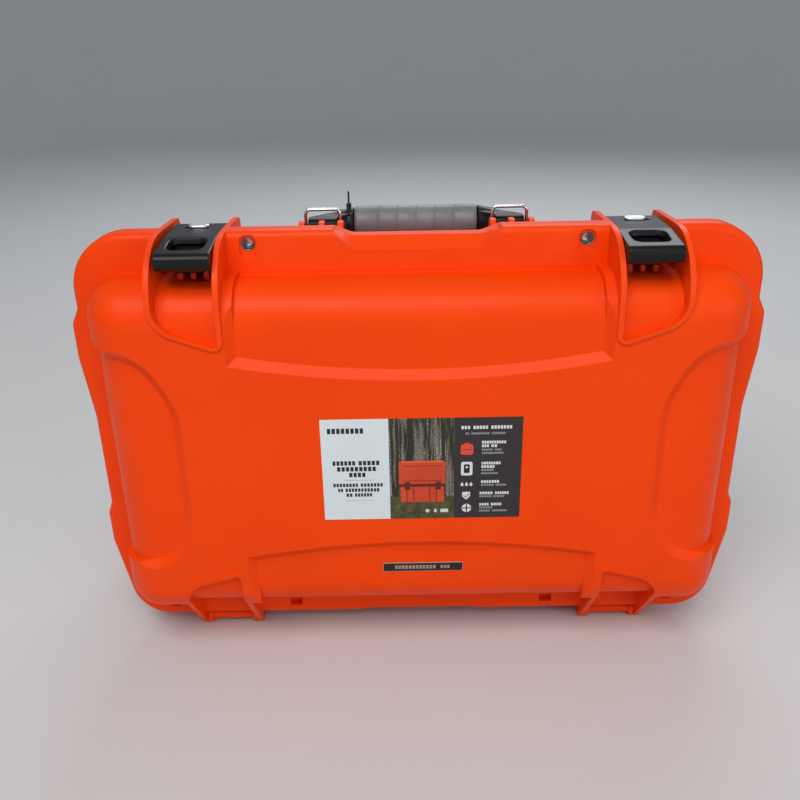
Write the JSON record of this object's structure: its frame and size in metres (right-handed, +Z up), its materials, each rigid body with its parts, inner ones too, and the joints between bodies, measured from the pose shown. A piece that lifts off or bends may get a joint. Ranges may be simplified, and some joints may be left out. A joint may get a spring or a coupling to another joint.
{
  "type": "hard carrying case",
  "caption": "Hard orange protective case with a fitted foam insert for a drone, hinged lid, black over-lid latches, folding grip handle and padlock eyelets.",
  "frame": {"origin": "bottom centre of the closed case, standing on its hinge side", "axes": "+X along the length, +Y through the depth from the lid towards the base's back, +Z up towards the handle"},
  "size_m": [0.559, 0.229, 0.393],
  "materials": {
    "case_orange": "satin moulded resin with a fine texture",
    "gasket_black": "matte",
    "foam_dark": "open-cell foam",
    "latch_black": "satin",
    "steel": "satin",
    "slider_silver": "polished",
    "handle_black": "satin",
    "grip_grey": "soft, lightly worn",
    "ring_chrome": "polished",
    "label_print": "printed film",
    "plate_black": "satin",
    "valve_black": "satin",
    "tie_black": "satin"
  },
  "bodies": {
    "case_base": {"base_shell": "case_orange", "top_rim_base": "case_orange", "padlock_bosses_base": "case_orange", "hinge_skids_left": "case_orange", "hinge_skids_right": "case_orange", "latch_ribs_left": "case_orange", "latch_ribs_right": "case_orange", "handle_lugs_left": "case_orange", "handle_lugs_right": "case_orange", "gasket": "gasket_black", "foam_pad": "foam_dark", "foam_sheet_aircraft": "foam_dark", "foam_sheet_controller": "foam_dark", "padlock_eyelets_base": "steel", "valve_body": "valve_black", "valve_cap": "valve_black", "hinge_pin_left": "steel", "hinge_pin_right": "steel", "latch_pin_left": "steel", "latch_pin_right": "steel", "handle_pin_left": "steel", "handle_pin_right": "steel"},
    "case_lid": {"lid_shell": "case_orange", "lid_latch_ribs_left": "case_orange", "lid_latch_ribs_right": "case_orange", "lid_hinge_ribs_left": "case_orange", "lid_hinge_ribs_right": "case_orange", "top_rim_lid": "case_orange", "padlock_bosses_lid": "case_orange", "lid_foam": "foam_dark", "label_sticker": "label_print", "nameplate": "plate_black", "padlock_eyelets_lid": "steel"},
    "top_handle": {"handle_core": "handle_black", "handle_grip": "grip_grey", "zip_tie": "tie_black"},
    "latch_left": {"latch_body_left": "latch_black", "latch_claw_left": "latch_black"},
    "lock_left": {"latch_slider_left": "slider_silver"},
    "ring_left": {"strap_ring_left": "ring_chrome"},
    "latch_right": {"latch_body_right": "latch_black", "latch_claw_right": "latch_black"},
    "lock_right": {"latch_slider_right": "slider_silver"},
    "ring_right": {"strap_ring_right": "ring_chrome"}
  },
  "joints": [
    {"name": "lid_hinge", "type": "hinge", "parent": "case_base", "child": "case_lid", "pos_m": [0, -0.053, 0.0075], "axis": [1, 0, 0], "range_deg": [0, 100]},
    {"name": "handle_pivot", "type": "hinge", "parent": "case_base", "child": "top_handle", "pos_m": [0, -0.033, 0.366], "axis": [1, 0, 0], "range_deg": [0, 95]},
    {"name": "latch_pivot_left", "type": "hinge", "parent": "case_base", "child": "latch_left", "pos_m": [-0.1736, -0.007, 0.359], "axis": [-1, 0, 0], "range_deg": [0, 100]},
    {"name": "lock_slide_left", "type": "slide", "parent": "latch_left", "child": "lock_left", "axis": [-1, 0, 0], "range_m": [0, 0.0055]},
    {"name": "ring_swing_left", "type": "hinge", "parent": "top_handle", "child": "ring_left", "pos_m": [-0.0765, -0.0155, 0.3695], "axis": [1, 0, 0], "range_deg": [-38, 5]},
    {"name": "latch_pivot_right", "type": "hinge", "parent": "case_base", "child": "latch_right", "pos_m": [0.1736, -0.007, 0.359], "axis": [-1, 0, 0], "range_deg": [0, 100]},
    {"name": "lock_slide_right", "type": "slide", "parent": "latch_right", "child": "lock_right", "axis": [1, 0, 0], "range_m": [0, 0.0055]},
    {"name": "ring_swing_right", "type": "hinge", "parent": "top_handle", "child": "ring_right", "pos_m": [0.0765, -0.0155, 0.3695], "axis": [1, 0, 0], "range_deg": [-38, 5]}
  ]
}
